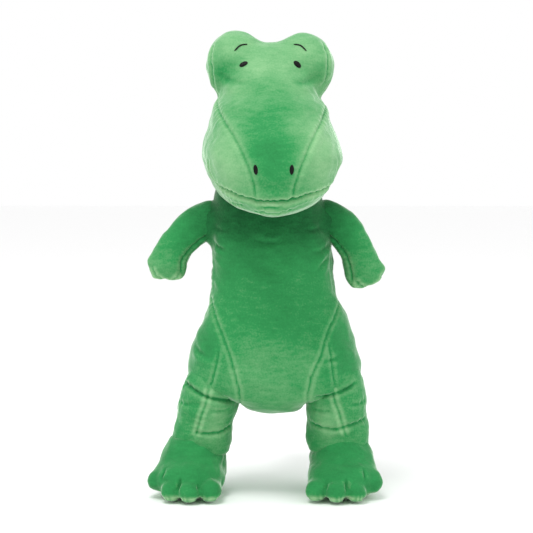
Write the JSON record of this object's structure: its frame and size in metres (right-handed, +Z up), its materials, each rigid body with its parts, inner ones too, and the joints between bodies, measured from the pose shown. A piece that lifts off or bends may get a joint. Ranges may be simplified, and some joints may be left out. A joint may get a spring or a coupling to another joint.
{
  "type": "stuffed dinosaur",
  "caption": "Standing green plush dinosaur with a broad snout, two brow domes, short arms, stubby legs and a tail that hang on soft sewn joints.",
  "frame": {"origin": "on the floor, under the middle of the toy's box", "axes": "+Z up; the toy faces -Y; +X is the toy's left"},
  "size_m": [0.1611, 0.2226, 0.3198],
  "materials": {
    "plush": "matte",
    "filling": "matte",
    "pellet_bag": "matte",
    "black_thread": "satin",
    "green_thread": "satin"
  },
  "bodies": {
    "torso": {"belly_panel": "plush", "right_back_panel": "plush", "left_back_panel": "plush", "torso_filling": "filling", "neck_gusset": "plush", "right_shoulder_gusset": "plush", "left_shoulder_gusset": "plush", "right_hip_gusset": "plush", "left_hip_gusset": "plush", "tail_gusset": "plush", "seat_pellet_bag": "pellet_bag", "back_closing_stitches": "green_thread"},
    "head": {"face_panel": "plush", "right_cheek_panel": "plush", "left_cheek_panel": "plush", "jaw_panel": "plush", "right_head_back_panel": "plush", "left_head_back_panel": "plush", "head_filling": "filling", "right_eye": "black_thread", "left_eye": "black_thread", "right_brow": "black_thread", "left_brow": "black_thread", "right_nostril": "black_thread", "left_nostril": "black_thread"},
    "right_arm": {"right_arm_front_panel": "plush", "right_arm_back_panel": "plush", "right_arm_filling": "filling"},
    "left_arm": {"left_arm_front_panel": "plush", "left_arm_back_panel": "plush", "left_arm_filling": "filling"},
    "right_leg": {"right_leg_outer_panel": "plush", "right_leg_inner_panel": "plush", "right_leg_filling": "filling", "right_foot_upper": "plush", "right_foot_sole": "plush", "right_foot_filling": "filling", "right_foot_pellet_bag": "pellet_bag"},
    "left_leg": {"left_leg_outer_panel": "plush", "left_leg_inner_panel": "plush", "left_leg_filling": "filling", "left_foot_upper": "plush", "left_foot_sole": "plush", "left_foot_filling": "filling", "left_foot_pellet_bag": "pellet_bag"},
    "tail": {"right_tail_panel": "plush", "left_tail_panel": "plush", "tail_filling": "filling"}
  },
  "joints": [
    {"name": "neck_nod", "type": "hinge", "parent": "torso", "child": "head", "pos_m": [0, -0.0146, 0.2], "axis": [1, 0, 0], "range_deg": [-18, 18], "stiffness_Nm_per_rad": 2},
    {"name": "right_shoulder_swing", "type": "hinge", "parent": "torso", "child": "right_arm", "pos_m": [-0.039, -0.0146, 0.19], "axis": [-1, 0, 0], "range_deg": [-35, 50], "stiffness_Nm_per_rad": 0.3},
    {"name": "left_shoulder_swing", "type": "hinge", "parent": "torso", "child": "left_arm", "pos_m": [0.039, -0.0146, 0.19], "axis": [-1, 0, 0], "range_deg": [-35, 50], "stiffness_Nm_per_rad": 0.3},
    {"name": "right_hip_swing", "type": "hinge", "parent": "torso", "child": "right_leg", "pos_m": [-0.0435, -0.0136, 0.075], "axis": [-1, 0, 0], "range_deg": [-25, 36], "stiffness_Nm_per_rad": 3},
    {"name": "left_hip_swing", "type": "hinge", "parent": "torso", "child": "left_leg", "pos_m": [0.0435, -0.0136, 0.075], "axis": [-1, 0, 0], "range_deg": [-25, 36], "stiffness_Nm_per_rad": 3},
    {"name": "tail_wag", "type": "hinge", "parent": "torso", "child": "tail", "pos_m": [0, 0.02066, 0.098], "axis": [0, 0, 1], "range_deg": [-25, 25], "stiffness_Nm_per_rad": 0.5}
  ]
}
